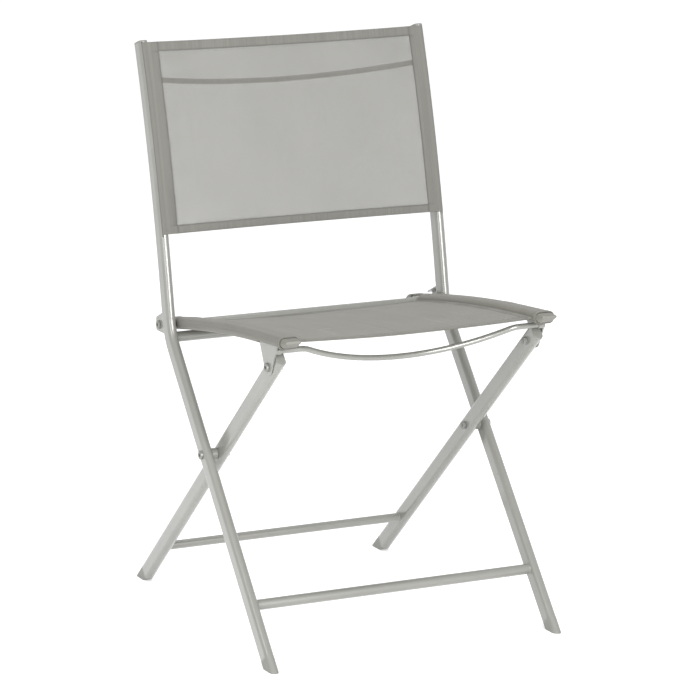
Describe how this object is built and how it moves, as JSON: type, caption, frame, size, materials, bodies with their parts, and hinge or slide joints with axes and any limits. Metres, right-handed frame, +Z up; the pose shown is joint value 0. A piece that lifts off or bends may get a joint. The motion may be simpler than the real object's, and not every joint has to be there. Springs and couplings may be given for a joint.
{
  "type": "folding chair",
  "caption": "Folding armless outdoor chair with bent flat-oval tube frame, crossing rear legs and mesh sling back and seat; the seat lifts off hooks and folds up.",
  "frame": {"origin": "centre of the chair's bounding box in plan, on the floor", "axes": "+Z up, -Y towards the front of the seat, +X to the right seen from the front"},
  "size_m": [0.4596, 0.574, 0.8228],
  "materials": {
    "frame": "satin powder coat, warm light grey",
    "cap": "moulded plastic, grey",
    "foot": "moulded plastic, grey",
    "bolt": "coated steel",
    "nut": "zinc plated",
    "spacer": "nylon",
    "keder": "smooth cord",
    "back_mesh": "open woven coated mesh",
    "seat_mesh": "woven coated mesh"
  },
  "bodies": {
    "long_frame": {"long_tube_left": "frame", "long_tube_right": "frame", "top_cap_left": "cap", "top_cap_right": "cap", "front_foot_left": "foot", "front_foot_right": "foot", "pivot_ear_left": "frame", "pivot_ear_right": "frame", "seat_pivot_bolt_left": "bolt", "seat_pivot_bolt_right": "bolt", "seat_pivot_nut_left": "nut", "seat_pivot_nut_right": "nut", "keder_rod_left": "keder", "keder_rod_right": "keder", "leg_bolt_left": "bolt", "leg_bolt_right": "bolt", "leg_nut_left": "nut", "leg_nut_right": "nut", "leg_spacer_left": "spacer", "leg_spacer_right": "spacer", "front_stretcher": "frame", "seat_rest_bar": "frame", "back_bar": "frame", "back_sling": "back_mesh"},
    "rear_frame": {"rear_leg_left": "frame", "rear_leg_right": "frame", "rear_leg_plug_left": "cap", "rear_leg_plug_right": "cap", "rear_foot_left": "foot", "rear_foot_right": "foot", "hook_bolt_left": "bolt", "hook_bolt_right": "bolt", "hook_nut_left": "nut", "hook_nut_right": "nut", "rear_stretcher": "frame"},
    "seat": {"seat_tube_left": "frame", "seat_tube_right": "frame", "seat_tip_left": "cap", "seat_tip_right": "cap", "seat_rear_cap_left": "cap", "seat_rear_cap_right": "cap", "hook_bracket_left": "frame", "hook_bracket_right": "frame", "seat_rear_bar": "frame", "seat_front_bar": "frame", "seat_sling": "seat_mesh"}
  },
  "joints": [
    {"name": "leg_fold", "type": "hinge", "parent": "long_frame", "child": "rear_frame", "pos_m": [0, -0.0366, 0.2578], "axis": [-1, 0, 0], "range_deg": [0, 70]},
    {"name": "seat_fold", "type": "hinge", "parent": "long_frame", "child": "seat", "pos_m": [0, 0.1204, 0.417], "axis": [-1, 0, 0], "range_deg": [0, 65.5]}
  ],
  "couplings": [
    {"joint": "seat_fold", "follows": "leg_fold", "ratio": 0.93}
  ]
}
